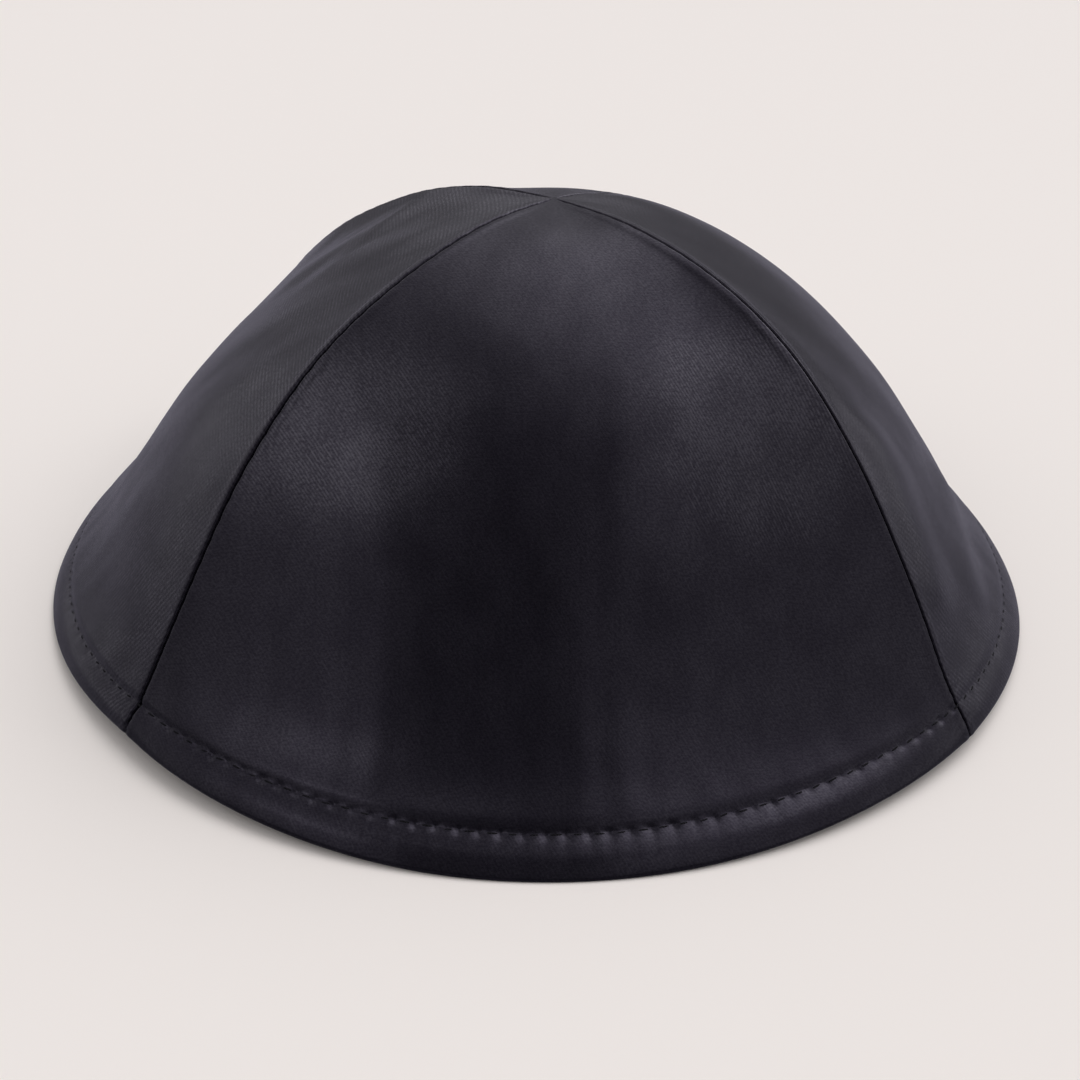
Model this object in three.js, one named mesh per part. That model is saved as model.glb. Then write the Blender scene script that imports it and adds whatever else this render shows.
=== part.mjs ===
// A kippah: four triangular satin panels sewn together at the apex, flared at the rim, with a turned and stitched hem.
// Millimetres, +Z up, the front panel faces -Y. The origin is under the middle of the cap, on the surface it rests on.
import * as THREE from 'three';
import { mergeVertices } from 'three/addons/utils/BufferGeometryUtils.js';

// Driving dimensions
const crownHeight = 65; // height of the apex over the surface
const wall = 1.4; // satin, interlining and backing together
const seamGap = 0.3; // between neighbouring panels
const restGive = 0.2; // how far the soft edge is pressed flat where it rests
const turnUp = 0.6; // the least rise of the hem's inner face over the edge, at the stitch line
const apexSide = 1.8; // the apex sits this far to the right of the rim's middle

// Fineness of the surfaces
const columns = 20; // across a panel
const crownRows = 16; // from the apex down to the stitch line

// The two lines that shape the cap, from the apex down to the rim: r is the distance from the axis, z the height.
// The first runs down the middle of a panel and the second down a seam. The last row but one is the stitch line.
const stations = [
  { middleR: 0, middleZ: crownHeight, seamR: 0, seamZ: crownHeight },
  { middleR: 15.5, middleZ: 62.5, seamR: 17, seamZ: 64 },
  { middleR: 31, middleZ: 55.5, seamR: 34, seamZ: 59.8 },
  { middleR: 45.8, middleZ: 45.8, seamR: 50, seamZ: 51.8 },
  { middleR: 58.4, middleZ: 34.8, seamR: 63.6, seamZ: 40.2 },
  { middleR: 68.2, middleZ: 22.5, seamR: 73.8, seamZ: 27.8 },
  { middleR: 76.2, middleZ: 12, seamR: 81.2, seamZ: 15.8 },
  { middleR: 83.2, middleZ: 4.7, seamR: 84.8, seamZ: 6 },
  { middleR: 86.8, middleZ: 0, seamR: 86.6, seamZ: 0 },
];
const stitchAt = (stations.length - 2) / (stations.length - 1);

// How each panel's middle and each seam departs from those lines. crown and waist push the cloth outwards, high and
// low on the cap, kick pushes the rim outwards, and lift raises it. A seam is on the right of the panel in its row.
const panels = [
  { name: 'front', crown: 0, waist: -3, kick: 1 },
  { name: 'right', crown: 2.2, waist: 0.7, kick: 1.4 },
  { name: 'back', crown: 0.5, waist: 0, kick: 0.3 },
  { name: 'left', crown: -1.6, waist: 0.7, kick: 0.4 },
];
const seams = [
  { name: 'front_right', crown: 0.2, waist: -1.7, kick: 1.8, lift: 2 },
  { name: 'back_right', crown: -3.4, waist: 2.2, kick: -1, lift: 0 },
  { name: 'back_left', crown: -0.4, waist: 3.4, kick: -1, lift: 0 },
  { name: 'front_left', crown: -1.8, waist: -3.1, kick: 0.4, lift: 2.7 },
];
const crownZone = { centre: 0.3, reach: 0.3 };
const waistZone = { centre: 0.64, reach: 0.36 };
const rimZone = { centre: 1, reach: 0.25 };

// Soft folds. Each runs straight from one place on a panel to another: fromAngle and toAngle are degrees across the
// panel, fromT and toT the shares of the way down it. A negative height is a dent.
const folds = [
  { panel: 'left', fromAngle: -24, fromT: 0.38, toAngle: -28, toT: 0.26, height: 0.7 },
  { panel: 'left', fromAngle: -40, fromT: 0.38, toAngle: -39, toT: 0.27, height: -0.5 },
  { panel: 'left', fromAngle: -12, fromT: 0.29, toAngle: 10, toT: 0.2, height: 0.4 },
  { panel: 'right', fromAngle: -37, fromT: 0.5, toAngle: -40, toT: 0.68, height: 0.6 },
  { panel: 'right', fromAngle: -15, fromT: 0.66, toAngle: -27, toT: 0.76, height: 0.8 },
];
const foldReach = 9; // from a fold's line to where the cloth is smooth again
const seamCalm = THREE.MathUtils.degToRad(6); // the folds die out over this angle from a seam

// The wall below the stitch line: share of the hem's width, how proud it is of the panel's face, and its thickness
const hemRows = [
  { share: 0, proud: -0.4, thick: 2 },
  { share: 0.12, proud: 0, thick: 2.5 },
  { share: 0.35, proud: 0.35, thick: 2.9 },
  { share: 0.65, proud: 0.4, thick: 3 },
  { share: 0.92, proud: 0.1, thick: 2.8 },
  { share: 1, proud: -0.4, thick: 2.3 },
];

const halfPanel = Math.PI / panels.length; // the angle from a panel's middle to its seam

const satin = { color: 0x2b2933, roughness: 0.42, metalness: 0 };

// 1 at the zone's centre, falling smoothly to 0 at its ends
function inZone(zone, t) {
  const away = Math.min(Math.abs(t - zone.centre) / zone.reach, 1);
  return Math.cos((away * Math.PI) / 2) ** 2;
}

// A line's point at the share t of the way from the apex to the rim, pushed and kicked as its row says
function lineAt(curve, shift, t) {
  const tangent = curve.getTangent(t);
  const outward = new THREE.Vector2(-tangent.y, tangent.x);
  const push = shift.crown * inZone(crownZone, t) + shift.waist * inZone(waistZone, t);
  const point = curve.getPoint(t).addScaledVector(outward, push);
  point.x += shift.kick * inZone(rimZone, t);
  return point;
}

const middleCurve = new THREE.SplineCurve(stations.map((s) => new THREE.Vector2(s.middleR, s.middleZ)));
const seamCurve = new THREE.SplineCurve(stations.map((s) => new THREE.Vector2(s.seamR, s.seamZ)));

// The panel's face at the angle across it, from its left seam at -halfPanel to its right one at halfPanel.
// Between its middle and a seam the face draws away from the axis as a flat panel would, and the rim lifts.
function facePoint(index, angle, t) {
  const across = THREE.MathUtils.inverseLerp(-halfPanel, halfPanel, angle);
  const left = seams[(index + seams.length - 1) % seams.length];
  const right = seams[index];
  const seam = lineAt(seamCurve, left, t).lerp(lineAt(seamCurve, right, t), across);
  const towardsSeam = (1 / Math.cos(angle) - 1) / (1 / Math.cos(halfPanel) - 1);
  const point = lineAt(middleCurve, panels[index], t).lerp(seam, towardsSeam);
  const lift = THREE.MathUtils.lerp(left.lift, right.lift, across);
  point.y += lift * inZone(rimZone, t) * Math.sin(((angle / halfPanel) * Math.PI) / 2) ** 2;
  return point;
}

// The direction out of the face, in the upright plane through the axis
function outwardAt(index, angle, t) {
  if (t === 0) return new THREE.Vector2(0, 1);
  const step = 1e-3;
  const above = facePoint(index, angle, Math.max(t - step, 0));
  const below = facePoint(index, angle, Math.min(t + step, 1));
  const along = below.sub(above).normalize();
  return new THREE.Vector2(-along.y, along.x);
}

// A place on a panel laid flat: how far it is from the panel's middle and from the apex
function laidFlat(angle, t) {
  return new THREE.Vector3(angle * middleCurve.getPoint(t).x, t * middleCurve.getLength(), 0);
}

// How far the folds push the panel's face outwards there
function foldAt(index, angle, t) {
  const place = laidFlat(angle, t);
  const nearest = new THREE.Vector3();
  let push = 0;
  for (const fold of folds.filter((f) => f.panel === panels[index].name)) {
    const from = laidFlat(THREE.MathUtils.degToRad(fold.fromAngle), fold.fromT);
    const to = laidFlat(THREE.MathUtils.degToRad(fold.toAngle), fold.toT);
    new THREE.Line3(from, to).closestPointToPoint(place, true, nearest);
    const away = Math.min(nearest.distanceTo(place) / foldReach, 1);
    push += fold.height * Math.cos((away * Math.PI) / 2) ** 2;
  }
  const fromSeam = Math.min((halfPanel - Math.abs(angle)) / seamCalm, 1);
  return push * Math.sin((fromSeam * Math.PI) / 2);
}

// The wall's section at one angle across the panel: down its outer face, under the edge and up its inner face
function wallSection(index, angle) {
  const rows = [];
  for (let i = 0; i < crownRows; i++) {
    rows.push({ t: (stitchAt * i) / crownRows, proud: 0, thick: wall });
  }
  for (const row of hemRows) {
    rows.push({ t: THREE.MathUtils.lerp(stitchAt, 1, row.share), proud: row.proud, thick: row.thick });
  }
  const outer = [];
  const inner = [];
  for (const { t, proud, thick } of rows) {
    const outward = outwardAt(index, angle, t);
    const face = facePoint(index, angle, t).addScaledVector(outward, foldAt(index, angle, t));
    outer.push({ t, point: face.clone().addScaledVector(outward, proud) });
    inner.push({ t, point: face.clone().addScaledVector(outward, proud - thick) });
  }
  const edgeHeight = Math.max(outer.at(-1).point.y - restGive, 0);
  outer.at(-1).point.y = edgeHeight;
  for (const { t, point } of inner) {
    const rise = (turnUp * (1 - t)) / (1 - stitchAt);
    point.y = Math.max(point.y, edgeHeight + rise);
  }
  return [...outer, ...inner.reverse()];
}

// Turns a section to its azimuth. The points near the apex move with it to where it sits off the rim's middle.
function placeSection(section, azimuth) {
  return section.map(({ t, point }) => {
    const nearApex = (1 - t) ** 3;
    return new THREE.Vector3(
      point.x * Math.sin(azimuth) + apexSide * nearApex,
      -point.x * Math.cos(azimuth),
      point.y,
    );
  });
}

// Joins sections side by side into one closed body, with the first and last section filled in
function loft(flatEnds, sections) {
  const ring = sections[0].length;
  const faces = [];
  const at = (column, row) => column * ring + (row % ring);
  for (let c = 0; c + 1 < sections.length; c++) {
    for (let r = 0; r < ring; r++) {
      faces.push([at(c, r), at(c, r + 1), at(c + 1, r + 1)]);
      faces.push([at(c, r), at(c + 1, r + 1), at(c + 1, r)]);
    }
  }
  const lastColumn = sections.length - 1;
  const [firstFlat, lastFlat] = flatEnds;
  for (const [a, b, c] of THREE.ShapeUtils.triangulateShape(firstFlat, [])) {
    faces.push([at(0, a), at(0, b), at(0, c)]);
  }
  for (const [a, b, c] of THREE.ShapeUtils.triangulateShape(lastFlat, [])) {
    faces.push([at(lastColumn, a), at(lastColumn, c), at(lastColumn, b)]);
  }
  const open = new THREE.BufferGeometry().setFromPoints(sections.flat());
  open.setIndex(faces.flat());
  return withoutSlivers(mergeVertices(open, 1e-3));
}

// Drops the faces that shrank to a line where all sections share a point at the apex
function withoutSlivers(geometry) {
  const index = geometry.getIndex().array;
  const kept = [];
  for (let i = 0; i < index.length; i += 3) {
    const [a, b, c] = [index[i], index[i + 1], index[i + 2]];
    if (a !== b && b !== c && c !== a) kept.push(a, b, c);
  }
  geometry.setIndex(kept);
  return geometry;
}

function makePanel(index) {
  const facing = 2 * halfPanel * index;
  const flat = [];
  const placed = [];
  for (let c = 0; c <= columns; c++) {
    const angle = THREE.MathUtils.lerp(-halfPanel, halfPanel, c / columns);
    const section = wallSection(index, angle);
    flat.push(section.map(({ point }) => point));
    placed.push(placeSection(section, facing + angle));
  }
  const geometry = loft([flat[0], flat.at(-1)], placed);
  geometry.computeVertexNormals();
  const panel = new THREE.Mesh(geometry, new THREE.MeshStandardMaterial(satin));
  panel.name = 'panel_' + panels[index].name;
  const apart = seamGap / 2 / Math.sin(halfPanel);
  panel.position.set(apart * Math.sin(facing), -apart * Math.cos(facing), 0);
  return panel;
}

const kippah = new THREE.Group();
kippah.name = 'kippah';
for (let index = 0; index < panels.length; index++) kippah.add(makePanel(index));

// The origin goes to the middle of the cap's box, on the surface it rests on
const box = new THREE.Box3().setFromObject(kippah, true);
const middle = box.getCenter(new THREE.Vector3());
for (const panel of kippah.children) panel.position.sub(new THREE.Vector3(middle.x, middle.y, box.min.z));

export default kippah;
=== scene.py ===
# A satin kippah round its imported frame: four sewn panels with a turned and stitched hem, in a plain studio.
import math

import bmesh
import bpy
import numpy as np
from mathutils import Matrix, Quaternion, Vector


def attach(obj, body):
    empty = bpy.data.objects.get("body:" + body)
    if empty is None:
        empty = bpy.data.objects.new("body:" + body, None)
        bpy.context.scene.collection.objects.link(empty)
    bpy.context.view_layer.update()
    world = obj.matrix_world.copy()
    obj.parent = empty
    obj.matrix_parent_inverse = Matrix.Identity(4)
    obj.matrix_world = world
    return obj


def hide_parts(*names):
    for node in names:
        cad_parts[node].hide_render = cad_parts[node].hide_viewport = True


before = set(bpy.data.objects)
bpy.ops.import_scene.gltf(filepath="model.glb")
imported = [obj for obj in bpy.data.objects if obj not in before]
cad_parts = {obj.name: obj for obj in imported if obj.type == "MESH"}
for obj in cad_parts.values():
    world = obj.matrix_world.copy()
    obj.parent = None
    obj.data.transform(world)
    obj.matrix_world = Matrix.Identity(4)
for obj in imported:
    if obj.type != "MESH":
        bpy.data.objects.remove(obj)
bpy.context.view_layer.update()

scene = bpy.context.scene
mm = 0.001
print("frame:", len(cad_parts), "CAD nodes")

# the camera, as the photograph was taken

camera = {
    "distance": 230,  # mm from what it aims at
    "elevation": 30.465,
    "yaw": 2.648,  # degrees that it stands to the left of the front panel's middle
    "roll": 1.386,
    "aimSide": 0.26,
    "aimUp": -0.17,
    "lens": 39.9,
}


def makeCamera():
    elevation = math.radians(camera["elevation"])
    turn = Matrix.Rotation(-math.radians(camera["yaw"]), 3, "Z")
    aim = Vector((camera["aimSide"], 0, camera["aimUp"]))
    back = Vector((0, -math.cos(elevation), math.sin(elevation)))
    place = aim + back * camera["distance"]
    look = (turn @ (aim - place)).to_track_quat("-Z", "Y")
    roll = Quaternion((0, 0, 1), math.radians(camera["roll"]))
    data = bpy.data.cameras.new("photo_camera")
    data.lens = camera["lens"]
    data.sensor_width = 36
    data.clip_start = 0.01
    eye = bpy.data.objects.new("photo_camera", data)
    eye.matrix_world = Matrix.Translation(turn @ place * mm) @ (look @ roll).to_matrix().to_4x4()
    scene.collection.objects.link(eye)
    scene.camera = eye


makeCamera()

# the cap's form, in mm as far as the meshes

# Two lines from the apex to the rim, one down a panel's middle and one down a seam. R is the distance from
# the axis and Z the height.
stations = {
    "middleR": (0, 15.5, 31, 45.8, 58.4, 68.2, 76.2, 83.2, 86.8),
    "middleZ": (65, 62.5, 55.5, 45.8, 34.8, 22.5, 12, 4.7, 0),
    "seamR": (0, 17, 34, 50, 63.6, 73.8, 81.2, 84.8, 86.6),
    "seamZ": (65, 64, 59.8, 51.8, 40.2, 27.8, 15.8, 6, 0),
}
# crown and waist push the cloth outwards and kick pushes the rim out. puff is how far the hem stands up from
# its stitches, and pucker how much they draw it in. grain turns the weave, in degrees. ribs says how much
# shows of the ribs across the panel, near the apex, and of those down it, near the rim. clear is where the
# weave's lines show best: mm to either side of the panel's middle, mm down from the apex, then how far that
# reaches. pearly is how much more the cloth shines there.
panels = [
    {"name": "front", "crown": 0, "waist": -3, "kick": 1.9, "puff": 0.75, "pucker": 1,
     "grain": 0, "ribs": (0.1, 0.05), "clear": (28, 49, 25), "pearly": 0.5},
    {"name": "right", "crown": 2.2, "waist": 1.7, "kick": 2, "puff": 0.3, "pucker": 0.3,
     "grain": 2, "ribs": (0.35, 0.8), "clear": (20, 80, 40), "pearly": 0},
    {"name": "back", "crown": 0.5, "waist": 0, "kick": 0.3, "puff": 0.6, "pucker": 0.6,
     "grain": -2, "ribs": (0.6, 0.5), "clear": (10, 40, 30), "pearly": 0},
    {"name": "left", "crown": -1, "waist": 0.8, "kick": 0.9, "puff": 0.4, "pucker": 0.3,
     "grain": 1, "ribs": (1, 0.8), "clear": (5, 18, 34), "pearly": -0.1},
]
# The seam on the right of each panel. lift raises the rim there, and groove is half the seam's width.
seams = [
    {"crown": 0.2, "waist": -1.7, "kick": 2.5, "lift": 2, "puff": 0.08, "groove": 0.14},
    {"crown": -3.4, "waist": 2.2, "kick": -1, "lift": 0, "puff": 0.5, "groove": 0.2},
    {"crown": -0.4, "waist": 3.4, "kick": -1, "lift": 0, "puff": 0.5, "groove": 0.2},
    {"crown": -1.8, "waist": -3.1, "kick": 0.7, "lift": 2.7, "puff": 0.62, "groove": 0.23},
]
# Soft folds, each from one angle across the panel and share of the way down it to another. A negative height
# is a dent.
folds = [
    {"panel": "left", "start": (-24, 0.38), "end": (-28, 0.26), "height": 0.6},
    {"panel": "left", "start": (-40, 0.38), "end": (-39, 0.27), "height": -0.3},
    {"panel": "left", "start": (-12, 0.29), "end": (10, 0.2), "height": 0.4},
    {"panel": "right", "start": (-37, 0.5), "end": (-40, 0.68), "height": 0.6},
    {"panel": "right", "start": (-15, 0.66), "end": (-27, 0.76), "height": 0.5},
]
form = {
    "crownZone": (0.3, 0.3),  # centre and reach, as shares of the way down
    "waistZone": (0.64, 0.36),
    "rimZone": (1, 0.25),
    "apexSide": 1.8,  # to the right of the rim's middle
    "foldReach": 9,
    "seamCalm": math.radians(6),  # the folds die out over this, next to a seam
    "wall": 1.4,
    "seamGap": 0.05,
    "pressedTo": 0.45,  # how far the soft edge is pressed flat where it rests
    "pressRound": 0.25,
}
halfPanel = math.pi / len(panels)
stitchAt = 1 - 1 / (len(stations["middleR"]) - 1)
middleLine = np.column_stack((stations["middleR"], stations["middleZ"])).astype(float)
seamLine = np.column_stack((stations["seamR"], stations["seamZ"])).astype(float)


def bell(zone, t):
    centre, reach = zone
    return np.cos(np.minimum(np.abs(t - centre) / reach, 1) * math.pi / 2) ** 2


def smooth(share):
    share = np.clip(share, 0, 1)
    return share * share * (3 - 2 * share)


def splineAt(line, t):
    spans = len(line) - 1
    place = np.clip(t, 0, 1) * spans
    i = np.minimum(place.astype(int), spans - 1)
    w = (place - i)[..., None]
    start, end = line[i], line[i + 1]
    leave = (end - line[np.maximum(i - 1, 0)]) / 2
    arrive = (line[np.minimum(i + 2, spans)] - start) / 2
    cubic = (2 * start - 2 * end + leave + arrive) * w**3
    square = (3 * end - 3 * start - 2 * leave - arrive) * w**2
    return cubic + square + leave * w + start


def outwardFrom(above, below):  # square to a line that runs down, away from the axis
    along = below - above
    along /= np.maximum(np.linalg.norm(along, axis=-1, keepdims=True), 1e-9)
    return np.stack((-along[..., 1], along[..., 0]), -1)


def lineAt(line, row, t):
    step = 1e-4
    outward = outwardFrom(splineAt(line, np.maximum(t - step, 0)), splineAt(line, np.minimum(t + step, 1)))
    push = row["crown"] * bell(form["crownZone"], t) + row["waist"] * bell(form["waistZone"], t)
    point = splineAt(line, t) + outward * push[..., None]
    point[..., 0] += row["kick"] * bell(form["rimZone"], t)
    return point


def faceAt(index, angle, t):  # distance from the axis and height of a panel's face
    left, right = seams[index - 1], seams[index]
    across = (angle + halfPanel) / (2 * halfPanel)
    share = across[..., None]
    seam = lineAt(seamLine, left, t) * (1 - share) + lineAt(seamLine, right, t) * share
    towardsSeam = (1 / np.cos(angle) - 1) / (1 / math.cos(halfPanel) - 1)
    middle = lineAt(middleLine, panels[index], t)
    point = middle + (seam - middle) * towardsSeam[..., None]
    lift = left["lift"] + (right["lift"] - left["lift"]) * across
    point[..., 1] += lift * bell(form["rimZone"], t) * np.sin(angle / halfPanel * math.pi / 2) ** 2
    return point


def outwardAt(index, angle, t):
    step = 1e-3
    above = faceAt(index, angle, np.maximum(t - step, 0))
    outward = outwardFrom(above, faceAt(index, angle, np.minimum(t + step, 1)))
    outward[t <= 0] = (0, 1)
    return outward


def lengthOf(points):
    return float(np.linalg.norm(np.diff(points, axis=0), axis=1).sum())


panelLength = lengthOf(splineAt(middleLine, np.linspace(0, 1, 401)))


def foldAt(index, angle, t):  # how far the folds push the face out, measured on the panel laid flat
    x, y = angle * splineAt(middleLine, t)[..., 0], t * panelLength
    push = np.zeros_like(x)
    for fold in folds:
        if fold["panel"] != panels[index]["name"]:
            continue
        ends = []
        for degrees, share in (fold["start"], fold["end"]):
            radius = splineAt(middleLine, np.array(share))[0]
            ends.append(np.array((math.radians(degrees) * radius, share * panelLength)))
        start, run = ends[0], ends[1] - ends[0]
        along = np.clip(((x - start[0]) * run[0] + (y - start[1]) * run[1]) / (run @ run), 0, 1)
        away = np.hypot(x - start[0] - along * run[0], y - start[1] - along * run[1])
        push += fold["height"] * bell((0, form["foldReach"]), away)
    calm = np.minimum((halfPanel - np.abs(angle)) / form["seamCalm"], 1)
    return push * np.sin(calm * math.pi / 2)


hemWidth = lengthOf(middleLine[-2:])
shareHem = (1 - stitchAt) / hemWidth  # of the way down, for one mm of the hem
shareCrown = (1 - stitchAt) / lengthOf(middleLine[-3:-1])  # and for one above it


def shareAt(below):  # of the way down, for a place so many mm below the stitch line
    return np.clip(stitchAt + below * np.where(below > 0, shareHem, shareCrown), 0, 1)


def surfaceAt(index, angle, below, offset):  # a point of the cap at so many mm off the panel's face
    t = shareAt(below)
    face = faceAt(index, angle, t)
    point = face + outwardAt(index, angle, t) * (foldAt(index, angle, t) + offset)[..., None]
    edge = np.maximum(faceAt(index, angle, np.ones_like(t))[..., 1] - form["pressedTo"], 0)
    rise = point[..., 1] - edge
    height = edge + (rise + np.sqrt(rise**2 + form["pressRound"] ** 2)) / 2
    facing = index * 2 * halfPanel
    azimuth = facing + angle
    apart = form["seamGap"] / 2 / math.sin(halfPanel)
    x = point[..., 0] * np.sin(azimuth) + form["apexSide"] * (1 - t) ** 3 + apart * math.sin(facing)
    y = -point[..., 0] * np.cos(azimuth) - apart * math.cos(facing)
    return np.stack((x, y, height), -1)


# the cloth's sewing and slackness, in mm

hem = {
    "dip": 0.45,  # how deep the stitches pull the cloth in, where the hem is puffed most
    "leastDip": 0.14,
    "dipReach": 1,  # the dip dies out over this, above the stitches
    "riseReach": 3.4,  # the hem rises out of it over this
    "start": 1.4,  # a power: how gently that rise begins
    "roundness": 2.6,  # a power: how soon it is full
    "puffCurve": 1.4,  # a power: how late across the panel its puff turns into the seam's
    "tuck": 0.38,  # its fall towards the edge
    "edgeRadius": 1.3,
    "pinch": 1.5,  # thickness at the stitches
    "turnBlend": 0.4,  # share of the hem's width where the turned-in cloth leaves the stitches
    "lip": 0.9,  # the cloth that is turned in ends so far above them
    "lipPuff": 0.25,
    "lipStep": 0.1,
}
sewing = {
    "pitch": 2.9,
    "strength": (0.65, 1.3),  # of the weakest stitch and of the strongest
    "stray": 0.18,  # along the hem
    "drop": 0.08,  # up or down
    "hole": 0.22,
    "holeAt": 0.18,  # under the stitch line
    "holeWide": 0.62,
    "holeTall": 0.45,
    "pull": 0.03,  # the hem is drawn in below each hole
    "pullWide": 0.75,
    "pullStart": 0.5,
    "pullReach": (0.8, 3.4),
    "pullAbove": 0.35,  # its share just above the holes
    "pullAboveReach": 1.2,
    "grooveDeep": 0.85,  # where the cloth turns down into a seam
    "grooveInside": 0.3,  # its share on the inner face
    "grooveEnds": (1.5, 5.5),  # it dies out over these, below the stitch line
    "grooveLoss": 0.85,  # the share of its depth that is lost there
    "grooveFrom": 3,  # from the axis: where it has its whole depth
    "seamPitch": 2.2,
    "seamShift": 0.2,  # of a pitch, between a panel's two seams
    "nick": 0.3,  # the seam is that much wider at its stitches
    "nickSharp": 8,  # a power
    "swell": 0.08,  # the cloth stands up beside the groove
    "swellAt": 1.1,
    "swellWide": 0.6,
    "swellFrom": 12,
    "swellNick": 0.7,  # how much of it a stitch takes away
    "allowance": 0.45,  # the seams' spare cloth, pressed open inside
    "allowanceWide": 4.6,
    "allowanceEdge": 0.5,
    "allowanceFrom": 20,
    "seed": 11,
}
slack = {
    "waves": 9,
    "waveLength": (16, 38),
    "waveHeight": 0.032,
    "streaks": 7,
    "streakLength": (6, 15),
    "streakHeight": 0.024,
    "streakReach": 26,
    "phase": (0, 6.3),
    "calmAtSeam": 7,
    "calmAtHem": 5,
    "seed": 5,
}
grid = {
    "columns": 420,
    "seamColumns": 14,
    "seamBand": 2.2,  # mm that they cover
    "seamBandMost": 0.44,  # of half a panel
    "seamPack": 1.6,  # a power, as the two below are: how closely columns or rows stand at that end
    "nearPack": 1.5,
    "hemPack": 1.3,
    "crownRows": 92,
    "nearRows": 18,
    "near": 4,  # mm that they cover, above the stitches
    "hemRows": 34,
    "edgeRows": 14,
    "turnRows": 24,
    "lipRows": 6,
    "innerRows": 22,
}


def stitchCount(index):
    angle = np.linspace(-halfPanel, halfPanel, 60)
    line = surfaceAt(index, angle, np.zeros_like(angle), np.zeros_like(angle))
    return round(lengthOf(line) / sewing["pitch"])


def hemFall(below):  # the outer face falls away to the edge
    return hem["tuck"] * np.clip(below / hemWidth, 0, 1) ** 2


def hemRise(below):  # the share of the puff
    share = np.clip(below / hem["riseReach"], 0, 1)
    return 1 - (1 - share ** hem["start"]) ** hem["roundness"]


def sectionRows():
    # Columns: mm below the stitch line, mm off the face, how much the surface looks out and down, and its
    # shares of the puff and of the dip.
    def rowsOf(below, offset, out, down=0.0, rise=0.0, dip=0.0):
        below = np.asarray(below, float)
        values = (below, offset, out, down, rise, dip)
        return np.column_stack([np.broadcast_to(value, below.shape) for value in values])

    def dipShare(below):
        return np.exp(-((below / hem["dipReach"]) ** 2))

    top = -stitchAt / shareCrown
    crown = np.linspace(top, -grid["near"], grid["crownRows"], endpoint=False)
    near = -grid["near"] * (1 - np.linspace(0, 1, grid["nearRows"], endpoint=False)) ** grid["nearPack"]
    radius = hem["edgeRadius"]
    turn = hemWidth - radius
    outer = turn * np.linspace(0, 1, grid["hemRows"], endpoint=False) ** grid["hemPack"]
    around = np.linspace(0, math.pi, grid["edgeRows"])
    edgeTop, edgeRise = -float(hemFall(turn)), float(hemRise(turn))
    atStitch = -hem["dip"] - hem["pinch"]
    inner = turn * np.linspace(1, 0, grid["turnRows"] + 1)[1:]
    fromStitch = smooth(inner / turn / hem["turnBlend"])
    innerOffset = atStitch + (edgeTop - 2 * radius - atStitch) * fromStitch
    lip = hem["lip"] * np.linspace(0, 1, grid["lipRows"] + 1)[1:]
    inside = np.linspace(-hem["lip"] - hem["lipStep"], top, grid["innerRows"])
    return np.concatenate((
        rowsOf(crown, 0, 1, 0, 0, dipShare(crown)),
        rowsOf(near, 0, 1, 0, 0, dipShare(near)),
        rowsOf(outer, -hemFall(outer), 1, 0, hemRise(outer), 1),
        rowsOf(turn + radius * np.sin(around), edgeTop - radius + radius * np.cos(around),
               np.cos(around), np.sin(around), edgeRise, 1),
        rowsOf(inner, innerOffset, -1, 0, edgeRise * fromStitch, fromStitch),
        rowsOf(-lip, atStitch - hem["lipPuff"] * np.sin(lip / hem["lip"] * math.pi), -1),
        rowsOf(inside, -form["wall"], -1),
    ))


def columnAngles(share, radius):  # an angle across the panel for each column, closer together near the seams
    edgeShare = grid["seamColumns"] / grid["columns"]
    band = np.minimum(grid["seamBand"] / np.maximum(radius, 1e-6), grid["seamBandMost"] * halfPanel)
    fromSeam = np.minimum(share, 1 - share)
    close = band * (np.minimum(fromSeam, edgeShare) / edgeShare) ** grid["seamPack"]
    even = (halfPanel - band) * np.clip((fromSeam - edgeShare) / (0.5 - edgeShare), 0, 1)
    return np.sign(share - 0.5) * (halfPanel - close - even)


def puffAt(index, angle):
    side = np.where(angle < 0, seams[index - 1]["puff"], seams[index]["puff"])
    middle = panels[index]["puff"]
    return middle + (side - middle) * np.abs(angle / halfPanel) ** hem["puffCurve"]


def dipAt(index, angle):
    return hem["dip"] * np.clip(puffAt(index, angle) / panels[0]["puff"], hem["leastDip"] / hem["dip"], 1)


def stitchPull(index, angle, below, out):  # how far the hem's stitches draw the cloth in
    count = stitchCount(index)
    draw = np.random.default_rng(sewing["seed"] + index)
    strength = draw.uniform(*sewing["strength"], count) * panels[index]["pucker"]
    stray = draw.uniform(-sewing["stray"], sewing["stray"], count)
    drop = draw.uniform(-sewing["drop"], sewing["drop"], count)
    place = (angle + halfPanel) / (2 * halfPanel) * count
    i = np.clip(place.astype(int), 0, count - 1)
    aside = (place - i - 0.5) * sewing["pitch"] - stray[i]
    under = (below - sewing["holeAt"] - drop[i]) / sewing["holeTall"]
    hole = sewing["hole"] * np.exp(-((aside / sewing["holeWide"]) ** 2) - under**2)
    start, end = sewing["pullReach"]
    drawn = smooth(below / sewing["pullStart"]) * (1 - smooth((below - start) / (end - start)))
    drawn += sewing["pullAbove"] * np.exp(np.minimum(below, 0) / sewing["pullAboveReach"]) * (below <= 0)
    pull = sewing["pull"] * np.exp(-((aside / sewing["pullWide"]) ** 2)) * drawn * (out > 0)
    return strength[i] * (out * hole + pull)


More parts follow.
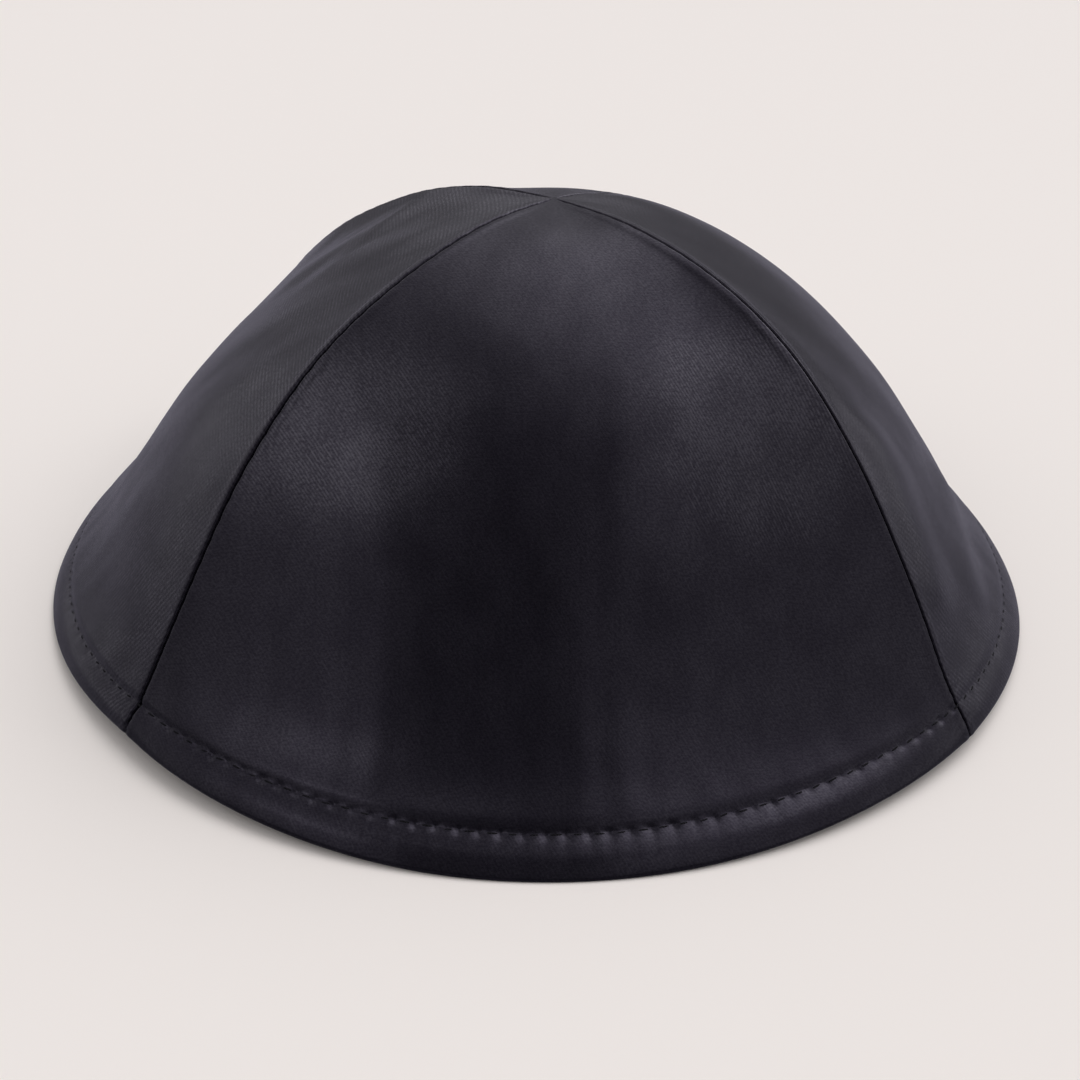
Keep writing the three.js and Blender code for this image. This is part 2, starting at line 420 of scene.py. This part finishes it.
def grooveDepth(index, onRight, nick, fromSeam, radius, below, out):  # where the cloth turns down into a seam
    half = np.where(onRight, seams[index]["groove"], seams[index - 1]["groove"]) * (1 + sewing["nick"] * nick)
    depth = sewing["grooveDeep"] * np.exp(-((fromSeam / half) ** 2)) * smooth(radius / sewing["grooveFrom"])
    start, end = sewing["grooveEnds"]
    left = 1 - sewing["grooveLoss"] * smooth((below - start) / (end - start))
    inside = sewing["grooveInside"]
    return depth * left * (inside + (1 - inside) * (1 + out) / 2)


def slackPush(index, x, y):  # soft waves all over the cloth, and streaks that run down to the hem
    draw = np.random.default_rng(slack["seed"] + index)
    push = np.zeros_like(x)
    for _ in range(slack["waves"]):
        length = draw.uniform(*slack["waveLength"])
        way = draw.uniform(0, math.pi)
        along = (x * math.cos(way) + y * math.sin(way)) / length
        push += slack["waveHeight"] * np.sin(2 * math.pi * along + draw.uniform(*slack["phase"]))
    for _ in range(slack["streaks"]):
        along = x / draw.uniform(*slack["streakLength"])
        wave = np.sin(2 * math.pi * along + draw.uniform(*slack["phase"]))
        push += slack["streakHeight"] * wave * np.exp((y - panelLength) / slack["streakReach"])
    return push


def panelSurface(index, columnShare, rowIndex):  # each point of a panel's sheet, and the angle it lies at
    below, offset, out, down, rise, dip = sectionRows()[rowIndex].T
    t = shareAt(below)
    radius = splineAt(seamLine, t)[..., 0]
    angle = columnAngles(columnShare, radius)
    offset = offset + rise * puffAt(index, angle) - dip * dipAt(index, angle)
    offset = offset - stitchPull(index, angle, below, out)

    # the seams
    fromSeam = (halfPanel - np.abs(angle)) * radius
    onRight = angle > 0
    alongSeam = below / sewing["seamPitch"] + sewing["seamShift"] * onRight
    nick = np.cos(alongSeam * math.pi) ** sewing["nickSharp"]
    depth = grooveDepth(index, onRight, nick, fromSeam, radius, below, out)
    aside = (fromSeam - sewing["swellAt"]) / sewing["swellWide"]
    swell = sewing["swell"] * np.exp(-(aside**2)) * smooth(radius / sewing["swellFrom"])
    spare = 1 - smooth((fromSeam - sewing["allowanceWide"]) / sewing["allowanceEdge"])
    spare *= sewing["allowance"] * smooth(radius / sewing["allowanceFrom"])
    spare *= (out < 0) * (below < -hem["lip"])
    offset = offset + out * (swell * (1 - sewing["swellNick"] * nick) - depth) - spare
    below = below - down * depth

    # the cloth's own unevenness, which the seams and the hem hold down
    calm = smooth(fromSeam / slack["calmAtSeam"]) * smooth(-below / slack["calmAtHem"])
    offset = offset + slackPush(index, angle * radius, t * panelLength) * calm
    return angle, surfaceAt(index, angle, below, offset)


print("form ready: rim", round(2 * middleLine[-1][0], 1), "mm wide")

# the panels' meshes


def gridMesh():  # a flat sheet, one column and row for each of the panel's
    bm = bmesh.new()
    bmesh.ops.create_grid(bm, x_segments=grid["columns"], y_segments=len(sectionRows()) - 1, size=0.5)
    mesh = bpy.data.meshes.new("cloth")
    bm.to_mesh(mesh)
    bm.free()
    return mesh


def seamEdges(edge, start, end):  # the open edges from one apex point to the other
    chain, vertex = [edge], edge.other_vert(start)
    while vertex != end:
        edge = next(e for e in vertex.link_edges if e.is_boundary and e != edge)
        chain.append(edge)
        vertex = edge.other_vert(vertex)
    return chain


def closeSeams(mesh, insideApex):  # fills the wall's two cut sides, which the next panels' hide
    bm = bmesh.new()
    bm.from_mesh(mesh)
    bmesh.ops.remove_doubles(bm, verts=bm.verts, dist=1e-6)
    openVerts = [v for v in bm.verts if v.is_boundary]
    outer = max(openVerts, key=lambda v: v.co.z)
    inner = min(openVerts, key=lambda v: (v.co - insideApex).length)
    starts = [e for e in outer.link_edges if e.is_boundary]
    chains = [seamEdges(edge, outer, inner) for edge in starts]
    spine = bm.edges.new((outer, inner))
    for chain in chains:
        bmesh.ops.triangle_fill(bm, use_beauty=False, use_dissolve=False, edges=chain + [spine])
    bmesh.ops.recalc_face_normals(bm, faces=bm.faces)
    for face in bm.faces:
        face.smooth = True
    for edge in (*chains[0], *chains[1], spine):
        edge.smooth = False
    gaps = sum(not edge.is_manifold for edge in bm.edges)
    bm.to_mesh(mesh)
    bm.free()
    return gaps


sheet = gridMesh()
flat = np.empty(len(sheet.vertices) * 3)
sheet.vertices.foreach_get("co", flat)
flat = flat.reshape(-1, 3) + 0.5
rowOf = np.rint((1 - flat[:, 1]) * (len(sectionRows()) - 1)).astype(int)
surfaces = [panelSurface(index, flat[:, 0], rowOf) for index in range(len(panels))]
allPoints = np.concatenate([points for angle, points in surfaces])
capCentre = (allPoints.min(axis=0) + allPoints.max(axis=0)) / 2
capCentre[2] = allPoints[:, 2].min()


def sectionLength(index):  # mm of cloth from the apex to each row, down the panel's middle
    below, offset, out, down, rise, dip = sectionRows().T
    middle = np.zeros_like(below)
    offset = offset + rise * puffAt(index, middle) - dip * dipAt(index, middle)
    section = surfaceAt(index, middle, below, offset)
    return np.concatenate(([0], np.cumsum(np.linalg.norm(np.diff(section, axis=0), axis=1))))


def mapCloth(index, mesh, angle):  # the map is the panel laid flat
    length = sectionLength(index)[rowOf]
    t = shareAt(sectionRows()[rowOf, 0])
    turned = angle * splineAt(middleLine, t)[..., 0] / np.maximum(length, 1e-6)
    flatPlace = np.column_stack((length * np.sin(turned), length * np.cos(turned)))
    corner = np.empty(len(mesh.loops), int)
    mesh.loops.foreach_get("vertex_index", corner)
    mesh.uv_layers.new(name="cloth").data.foreach_set("uv", (flatPlace[corner] * mm).ravel())


def makePanel(index, material):
    name = "panel_" + panels[index]["name"]
    angle, points = surfaces[index]
    mesh = sheet.copy()
    mesh.name = name
    mesh.vertices.foreach_set("co", ((points - capCentre) * mm).ravel())
    mapCloth(index, mesh, angle)
    lastRow = sectionRows()[-1:]
    insideApex = surfaceAt(index, np.zeros(1), lastRow[:, 0], lastRow[:, 1])[0]
    gaps = closeSeams(mesh, Vector((insideApex - capCentre) * mm))
    piece = bpy.data.objects.new(name + "_cloth", mesh)
    scene.collection.objects.link(piece)
    mesh.materials.append(material)
    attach(piece, "root")
    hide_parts(name)
    print(name, "faces:", len(mesh.polygons), "open edges:", gaps)


# the stitches round the hem and the thread that shows in the seams

thread = {
    "length": 2.2,
    "thick": 0.34,
    "high": 0.26,
    "slant": (4, 4),  # degrees: the usual one, and how much it varies
    "sink": 0.34,  # its ends go down into the holes
    "over": -0.05,  # above the cloth's dip
    "stray": 0.06,
    "seed": 21,
}
seamThread = {
    "across": 0.6,
    "thick": 0.28,
    "high": 0.2,
    "deep": 0.66,  # under the panels' face
    "sink": 0.12,
    "fromApex": 5,
    "fromHem": 1.2,
    "stray": 0.25,
    "seed": 31,
}


def addStitch(bm, middle, along, away, size, sink):  # a short round thread whose ends go down
    turn = Matrix((along, away.cross(along), away)).transposed().to_4x4()
    upright = Matrix.Rotation(math.pi / 2, 4, "Y")
    made = bmesh.ops.create_uvsphere(bm, u_segments=8, v_segments=8, radius=0.5, matrix=upright)["verts"]
    bmesh.ops.scale(bm, vec=size, verts=made)
    for vert in made:
        vert.co.z -= sink * abs(2 * vert.co.x / size[0]) ** 3
    bmesh.ops.transform(bm, matrix=Matrix.Translation(middle) @ turn, verts=made)


def threadPiece(bm, name, material):
    bmesh.ops.scale(bm, vec=(mm, mm, mm), verts=bm.verts)
    for face in bm.faces:
        face.smooth = True
    mesh = bpy.data.meshes.new(name)
    bm.to_mesh(mesh)
    bm.free()
    piece = bpy.data.objects.new(name, mesh)
    scene.collection.objects.link(piece)
    mesh.materials.append(material)
    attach(piece, "root")
    print(name, "faces:", len(mesh.polygons))


def makeStitches(name, outside, material):
    out = 1 if outside else -1
    bm = bmesh.new()
    for index in range(len(panels)):
        count = stitchCount(index)
        draw = np.random.default_rng(thread["seed"] + index)
        angle = -halfPanel + 2 * halfPanel * np.arange(count) / count
        offset = -dipAt(index, angle) if outside else np.full(count, -hem["dip"] - hem["pinch"])
        offset = offset + out * thread["over"]
        level = sewing["holeAt"] + draw.uniform(-thread["stray"], thread["stray"], count)
        middle = surfaceAt(index, angle, level, offset) - capCentre
        beside = surfaceAt(index, angle + 1e-3, level, offset) - capCentre
        under = surfaceAt(index, angle, level + 0.1, offset) - capCentre
        slant = np.radians(draw.normal(*thread["slant"], count))
        for k in range(count):
            along = Vector(beside[k] - middle[k]).normalized()
            away = (along.cross(Vector(under[k] - middle[k])) * out).normalized()
            if away.dot(Vector((middle[k][0], middle[k][1], 0))) * out < 0:
                away = -away
            along = Quaternion(away, slant[k]) @ along
            size = (thread["length"], thread["thick"], thread["high"])
            addStitch(bm, middle[k], along, away, size, thread["sink"])
    threadPiece(bm, name, material)


def makeSeamStitches(name, material):  # the seams' thread crosses the groove between two panels
    bm = bmesh.new()
    for index in range(len(panels)):
        draw = np.random.default_rng(seamThread["seed"] + index)
        top = seamThread["fromApex"] - stitchAt / shareCrown
        below = np.arange(top, -seamThread["fromHem"], sewing["seamPitch"])
        below = below + draw.uniform(-1, 1, len(below)) * seamThread["stray"]
        angle = np.full(len(below), halfPanel)
        inner = surfaceAt(index, angle, below, np.full(len(below), -seamThread["deep"])) - capCentre
        outer = surfaceAt(index, angle, below, np.zeros(len(below))) - capCentre
        azimuth = index * 2 * halfPanel + halfPanel
        size = (seamThread["across"], seamThread["thick"], seamThread["high"])
        for k in range(len(below)):
            away = Vector(outer[k] - inner[k]).normalized()
            along = Vector((math.cos(azimuth), math.sin(azimuth), 0))
            along = (along - away * along.dot(away)).normalized()
            addStitch(bm, inner[k], along, away, size, seamThread["sink"])
    threadPiece(bm, name, material)


# the materials, from their nodes up


def node(tree, kind, **settings):
    made = tree.nodes.new("ShaderNode" + kind)
    for key, value in settings.items():
        setattr(made, key, value)
    return made


def feed(tree, socket, value):
    if isinstance(value, bpy.types.NodeSocket):
        tree.links.new(value, socket)
    else:
        socket.default_value = value


def maths(tree, operation, *values, clamp=False):
    made = node(tree, "Math", operation=operation, use_clamp=clamp)
    for socket, value in zip(made.inputs, values):
        feed(tree, socket, value)
    return made.outputs[0]


def scaled(tree, vector, factors):
    made = node(tree, "Mapping")
    feed(tree, made.inputs["Vector"], vector)
    made.inputs["Scale"].default_value = factors
    return made.outputs[0]


def newGroup(name, inputs, outputs):
    group = bpy.data.node_groups.new(name, "ShaderNodeTree")
    for label, kind in inputs:
        group.interface.new_socket(name=label, in_out="INPUT", socket_type="NodeSocket" + kind)
    for label, kind in outputs:
        group.interface.new_socket(name=label, in_out="OUTPUT", socket_type="NodeSocket" + kind)
    return group, group.nodes.new("NodeGroupInput"), group.nodes.new("NodeGroupOutput")


weave = {
    "twill": 0.43,  # mm from one diagonal line to the next
    "twillTurn": 29,  # degrees that its lines lean from the warp
    "rib": (0.7, 0.72),  # mm from one to the next, across the panel and down it
    "ribsMeet": (48, 72),  # mm down the panel: where those across it fade into those down it
    "wobble": (1.5, 1.6),  # of the diagonal lines and of the ribs
    "wobbleDetail": 2,
    "wobbleScale": 0.6,
    "dashes": (2.4, 1.3, 1),  # per mm, across the lines and along them: where the lines break off
    "dashFade": (0.36, 0.64, 0.2, 1),  # the noise's range, then how much of the lines that leaves
    "patches": 0.12,  # per mm: where they show and where they fade
    "patchFade": (0.38, 0.62, 0.6, 1),
    "faint": 0.3,  # how much of the diagonal lines shows away from the panel's clear place
    "grain": (2, 3.2, 1),  # per mm, across and down the panel
    "grainFade": (0.36, 0.64),
    "grainShare": 0.32,
    "shade": (0.7, 0.45),  # what the height is multiplied by, and what is added
    "mottle": (0.2, 0.11, 1),  # per mm, across and along the warp
    "mottleFade": (0.3, 0.7, 0.84, 1.16),
}
bandsPerUnit = 20 / (2 * math.pi)  # of Blender's wave texture at a scale of 1


def noiseAt(tree, place, scale, detail):
    made = node(tree, "TexNoise")
    feed(tree, made.inputs["Vector"], place)
    made.inputs["Scale"].default_value = scale
    made.inputs["Detail"].default_value = detail
    return made.outputs["Fac"]


def fade(tree, value, start, end, low=0.0, high=1.0):  # smoothly from low at start to high at end
    made = node(tree, "MapRange", interpolation_type="SMOOTHSTEP")
    limits = {"Value": value, "From Min": start, "From Max": end, "To Min": low, "To Max": high}
    for key, given in limits.items():
        feed(tree, made.inputs[key], given)
    return made.outputs["Result"]


def wovenLines(tree, place, turn, pitch, wobble):  # soft parallel lines that break off and start again
    turned = node(tree, "VectorRotate", rotation_type="Z_AXIS")
    feed(tree, turned.inputs["Vector"], place)
    feed(tree, turned.inputs["Angle"], turn)
    lines = node(tree, "TexWave", wave_type="BANDS", bands_direction="X", wave_profile="SIN")
    feed(tree, lines.inputs["Vector"], turned.outputs[0])
    lines.inputs["Scale"].default_value = 1 / (bandsPerUnit * pitch)
    lines.inputs["Distortion"].default_value = wobble
    lines.inputs["Detail"].default_value = weave["wobbleDetail"]
    lines.inputs["Detail Scale"].default_value = weave["wobbleScale"]
    dashes = noiseAt(tree, scaled(tree, turned.outputs[0], weave["dashes"]), 1, 2)
    return maths(tree, "MULTIPLY", lines.outputs["Fac"], fade(tree, dashes, *weave["dashFade"]))


def weaveGroup():  # fine diagonal lines and ribs, with the grain of the yarn
    inputs = [("Place", "Vector")] + [(label, "Float") for label in ("Turn", "Across", "Down", "Clear")]
    group, given, result = newGroup("satinWeave", inputs, (("Height", "Float"), ("Shade", "Float")))
    place, turn, across, down, clear = given.outputs[:5]
    twillWobble, ribWobble = weave["wobble"]
    lean = maths(group, "ADD", turn, math.radians(weave["twillTurn"]))
    twill = wovenLines(group, place, lean, weave["twill"], twillWobble)
    twill = maths(group, "MULTIPLY", twill, fade(group, clear, 0, 1, weave["faint"], 1))
    split = node(group, "SeparateXYZ")
    feed(group, split.inputs[0], place)
    low = fade(group, split.outputs["Y"], *weave["ribsMeet"])
    across = maths(group, "MULTIPLY", across, maths(group, "SUBTRACT", 1, low))
    down = maths(group, "MULTIPLY", down, low)
    crosswise = maths(group, "ADD", turn, math.pi / 2)
    ribs = maths(group, "MULTIPLY", wovenLines(group, place, crosswise, weave["rib"][0], ribWobble), across)
    upright = wovenLines(group, place, turn, weave["rib"][1], ribWobble)
    ribs = maths(group, "MULTIPLY_ADD", upright, down, ribs)
    plain = maths(group, "SUBTRACT", 1, maths(group, "ADD", across, down))
    patches = fade(group, noiseAt(group, place, weave["patches"], 3), *weave["patchFade"])
    lines = maths(group, "MULTIPLY", maths(group, "MULTIPLY_ADD", twill, plain, ribs), patches)
    yarns = fade(group, noiseAt(group, scaled(group, place, weave["grain"]), 1, 3), *weave["grainFade"])
    height = maths(group, "MULTIPLY_ADD", yarns, weave["grainShare"], lines)
    feed(group, result.inputs["Height"], height)
    # Shade makes the cloth's colour darker in the weave's hollows: painted shade.
    feed(group, result.inputs["Shade"], maths(group, "MULTIPLY_ADD", height, *weave["shade"]))
    return group


def toneGroup():  # broad unevenness of the cloth, drawn out along its warp
    group, given, result = newGroup("clothTone", (("Place", "Vector"),), (("Tone", "Float"),))
    broad = noiseAt(group, scaled(group, given.outputs["Place"], weave["mottle"]), 1, 4)
    feed(group, result.inputs["Tone"], fade(group, broad, *weave["mottleFade"]))
    return group


satin = {
    # The colour in the weave's hollows is the cloth's own, darkened by painted shade; the raised lines'
    # colour is its own.
    "hollowShaded": (0.0022, 0.0019, 0.0032),
    "raised": (0.0068, 0.0058, 0.0098),
    "shadeFloor": 0.4,  # the hollows' colour up to this shade, then more and more of the raised lines'
    "roughness": (0.27, 0.21),  # in the hollows and on the raised lines
    "specular": 0.14,
    "specularTint": (0.78, 0.66, 1.0, 1),
    "coat": (0.2, 0.8),  # the floating yarns' gloss, in the hollows and on the raised lines
    "coatRoughness": 0.24,
    "sheen": 0.01,
    "sheenRoughness": 0.4,
    "sheenTint": (0.9, 0.84, 1.0, 1),
    "smear": 0.6,  # its gloss is drawn out down the cloth
    "smearTurn": 0.25,  # of a full turn
    "bump": 0.012,  # mm
    "clearCore": 0.3,  # of the clear place's reach: where it is at its clearest
    "pearlyFall": 2,  # a power
}
weaveTree = weaveGroup()
toneTree = toneGroup()


def useGroup(tree, group, **values):
    made = node(tree, "Group", node_tree=group)
    for key, value in values.items():
        feed(tree, made.inputs[key], value)
    return made


def blendColours(tree, factor, first, second):
    made = node(tree, "Mix", data_type="RGBA")
    feed(tree, made.inputs["Factor"], factor)
    feed(tree, made.inputs[6], first)
    feed(tree, made.inputs[7], second)
    return made.outputs[2]


def fromTo(tree, factor, ends):  # the first end where the factor is 0, and the second where it is 1
    return maths(tree, "MULTIPLY_ADD", factor, ends[1] - ends[0], ends[0])


def newMaterial(name):
    material = bpy.data.materials.new(name)
    material.use_nodes = True
    return material, material.node_tree, material.node_tree.nodes["Principled BSDF"]


def addBump(tree, shader, height, distance):
    bump = node(tree, "Bump")
    bump.inputs["Distance"].default_value = distance * mm
    feed(tree, bump.inputs["Height"], height)
    feed(tree, shader.inputs["Normal"], bump.outputs[0])


def clearPatch(tree, place, panel):  # 1 where the panel's weave shows best, fading to 0
    x, y, reach = panel["clear"]
    eitherSide = node(tree, "VectorMath", operation="ABSOLUTE")
    feed(tree, eitherSide.inputs[0], place)
    away = node(tree, "VectorMath", operation="DISTANCE")
    feed(tree, away.inputs[0], eitherSide.outputs["Vector"])
    away.inputs[1].default_value = (x, y, 0)
    return fade(tree, away.outputs["Value"], reach, satin["clearCore"] * reach)


def satinMaterial(panel):
    material, tree, shader = newMaterial("satin_" + panel["name"])
    cloth = node(tree, "UVMap", uv_map="cloth")
    place = scaled(tree, cloth.outputs[0], (1 / mm, 1 / mm, 1 / mm))
    clear = clearPatch(tree, place, panel)
    across, down = panel["ribs"]
    lie = math.radians(panel["grain"])
    weaving = useGroup(tree, weaveTree, Place=place, Turn=lie, Across=across, Down=down, Clear=clear)
    height = weaving.outputs["Height"]
    tone = useGroup(tree, toneTree, Place=place).outputs["Tone"]
    # the colour is darker where the weave is low: painted shade in its hollows
    shade = maths(tree, "MULTIPLY", weaving.outputs["Shade"], tone)
    shade = maths(tree, "SUBTRACT", shade, satin["shadeFloor"], clamp=True)
    colour = blendColours(tree, shade, (*satin["hollowShaded"], 1), (*satin["raised"], 1))
    feed(tree, shader.inputs["Base Color"], colour)
    feed(tree, shader.inputs["Roughness"], fromTo(tree, height, satin["roughness"]))
    pearly = maths(tree, "POWER", clear, satin["pearlyFall"])
    glow = maths(tree, "MULTIPLY", tone, maths(tree, "MULTIPLY_ADD", pearly, panel["pearly"], 1))
    gloss = maths(tree, "MULTIPLY", fromTo(tree, height, satin["coat"]), glow, clamp=True)
    feed(tree, shader.inputs["Coat Weight"], gloss)
    shader.inputs["Coat Roughness"].default_value = satin["coatRoughness"]
    shader.inputs["Specular IOR Level"].default_value = satin["specular"]
    shader.inputs["Specular Tint"].default_value = satin["specularTint"]
    shader.inputs["Anisotropic"].default_value = satin["smear"]
    shader.inputs["Anisotropic Rotation"].default_value = satin["smearTurn"]
    shader.inputs["Sheen Weight"].default_value = satin["sheen"]
    shader.inputs["Sheen Roughness"].default_value = satin["sheenRoughness"]
    shader.inputs["Sheen Tint"].default_value = satin["sheenTint"]
    along = node(tree, "Tangent", direction_type="UV_MAP", uv_map="cloth")
    feed(tree, shader.inputs["Tangent"], along.outputs[0])
    addBump(tree, shader, height, satin["bump"])
    return material


twisted = {
    "shaded": (0.001, 0.0009, 0.0013, 1),
    "lit": (0.0035, 0.0032, 0.0045, 1),
    "scale": 1.4,
    "wobble": 1,
    "roughness": 0.6,
    "specular": 0.12,
    "bump": 0.04,  # mm
}


def threadMaterial():  # a twisted thread
    material, tree, shader = newMaterial("thread_dark")
    place = scaled(tree, node(tree, "TexCoord").outputs["Object"], (1 / mm, 1 / mm, 1 / mm))
    twist = node(tree, "TexWave", wave_type="BANDS", bands_direction="DIAGONAL")
    feed(tree, twist.inputs["Vector"], place)
    twist.inputs["Scale"].default_value = twisted["scale"]
    twist.inputs["Distortion"].default_value = twisted["wobble"]
    colour = blendColours(tree, twist.outputs["Fac"], twisted["shaded"], twisted["lit"])
    feed(tree, shader.inputs["Base Color"], colour)
    shader.inputs["Roughness"].default_value = twisted["roughness"]
    shader.inputs["Specular IOR Level"].default_value = twisted["specular"]
    addBump(tree, shader, twist.outputs["Fac"], twisted["bump"])
    return material


for index in range(len(panels)):
    makePanel(index, satinMaterial(panels[index]))
darkThread = threadMaterial()
makeStitches("stitches_outside", True, darkThread)
makeStitches("stitches_inside", False, darkThread)
makeSeamStitches("stitches_seams", darkThread)

# the studio

studio = {
    "floorSize": 12,  # metres
    "floor": (0.93, 0.90, 0.785),
    # The next colour is painted shade: a darker floor that only the satin's gloss reflects.
    "floorShadedInGloss": (0.24, 0.235, 0.26),  # as the satin's gloss shows it
    "floorRoughness": 0.9,
    "floorSpecular": 0.1,
    "backdrop": (0.896, 0.847, 0.814),
    "light": (0.93, 0.90, 1.0),
    "even": 0.177,  # from all sides
    # Soft lights by the direction they come from, in degrees. reach is how far from there each starts to
    # fade, and where it ends.
    "lights": (
        {"azimuth": -105, "elevation": 37, "reach": (35, 53), "strength": 0.38},
        {"azimuth": 129, "elevation": 54, "reach": (11, 40), "strength": 1.98},
        {"azimuth": 184, "elevation": 44, "reach": (29, 34), "strength": 0.28},
        {"azimuth": 86, "elevation": 32.5, "reach": (46, 54), "strength": 0.47},
        {"azimuth": -22, "elevation": 49, "reach": (13, 50), "strength": 0.56},
        {"azimuth": -53, "elevation": 54, "reach": (3, 13), "strength": 0.7},
        {"azimuth": 86, "elevation": 60, "reach": (2, 11), "strength": 0.5},
    ),
    # A dark part of the room, which the front panel reflects. Its two edges are cosines: the light starts to
    # fade at the first and is lowest at the second.
    "dark": {"azimuth": -10, "aside": (0.3, 0.27), "ahead": (0.232, 0.295), "amount": 0.68},
}


def makeFloor():
    bm = bmesh.new()
    bmesh.ops.create_grid(bm, x_segments=4, y_segments=4, size=studio["floorSize"] / 2)
    mesh = bpy.data.meshes.new("floor")
    bm.to_mesh(mesh)
    bm.free()
    material, tree, shader = newMaterial("pale_floor")
    # glossy rays see the floor darker: painted shade in the satin's reflection of it
    glossy = node(tree, "LightPath").outputs["Is Glossy Ray"]
    colour = blendColours(tree, glossy, (*studio["floor"], 1), (*studio["floorShadedInGloss"], 1))
    feed(tree, shader.inputs["Base Color"], colour)
    shader.inputs["Roughness"].default_value = studio["floorRoughness"]
    shader.inputs["Specular IOR Level"].default_value = studio["floorSpecular"]
    mesh.materials.append(material)
    floor = bpy.data.objects.new("floor", mesh)
    scene.collection.objects.link(floor)


def heading(azimuth, elevation):
    a, e = math.radians(azimuth), math.radians(elevation)
    return math.sin(a) * math.cos(e), -math.cos(a) * math.cos(e), math.sin(e)


def cosineTo(tree, towards, direction):  # the cosine of the angle between the two
    made = node(tree, "VectorMath", operation="DOT_PRODUCT")
    feed(tree, made.inputs[0], towards)
    made.inputs[1].default_value = direction
    return made.outputs["Value"]


def makeDome():
    world = bpy.data.worlds.new("studio")
    scene.world = world
    world.use_nodes = True
    tree = world.node_tree
    towards = node(tree, "TexCoord").outputs["Generated"]
    bright = studio["even"]
    for light in studio["lights"]:
        near = cosineTo(tree, towards, heading(light["azimuth"], light["elevation"]))
        full, gone = (math.cos(math.radians(reach)) for reach in light["reach"])
        bright = maths(tree, "ADD", bright, fade(tree, near, gone, full, 0, light["strength"]))
    dark = studio["dark"]
    aside = maths(tree, "ABSOLUTE", cosineTo(tree, towards, heading(dark["azimuth"] + 90, 0)))
    ahead = cosineTo(tree, towards, heading(dark["azimuth"], 0))
    shadow = maths(tree, "MULTIPLY", fade(tree, aside, *dark["aside"]), fade(tree, ahead, *dark["ahead"]))
    left = maths(tree, "MULTIPLY_ADD", shadow, -dark["amount"], 1)
    background = tree.nodes["Background"]
    feed(tree, background.inputs["Strength"], maths(tree, "MULTIPLY", bright, left))
    background.inputs["Color"].default_value = (*studio["light"], 1)
    plain = node(tree, "Background")  # what the camera sees past the floor
    plain.inputs["Color"].default_value = (*studio["backdrop"], 1)
    seen = node(tree, "LightPath")
    either = node(tree, "MixShader")
    feed(tree, either.inputs[0], seen.outputs["Is Camera Ray"])
    feed(tree, either.inputs[1], background.outputs[0])
    feed(tree, either.inputs[2], plain.outputs[0])
    feed(tree, tree.nodes["World Output"].inputs["Surface"], either.outputs[0])


makeFloor()
makeDome()
scene.view_settings.view_transform = "Standard"
print("studio ready")
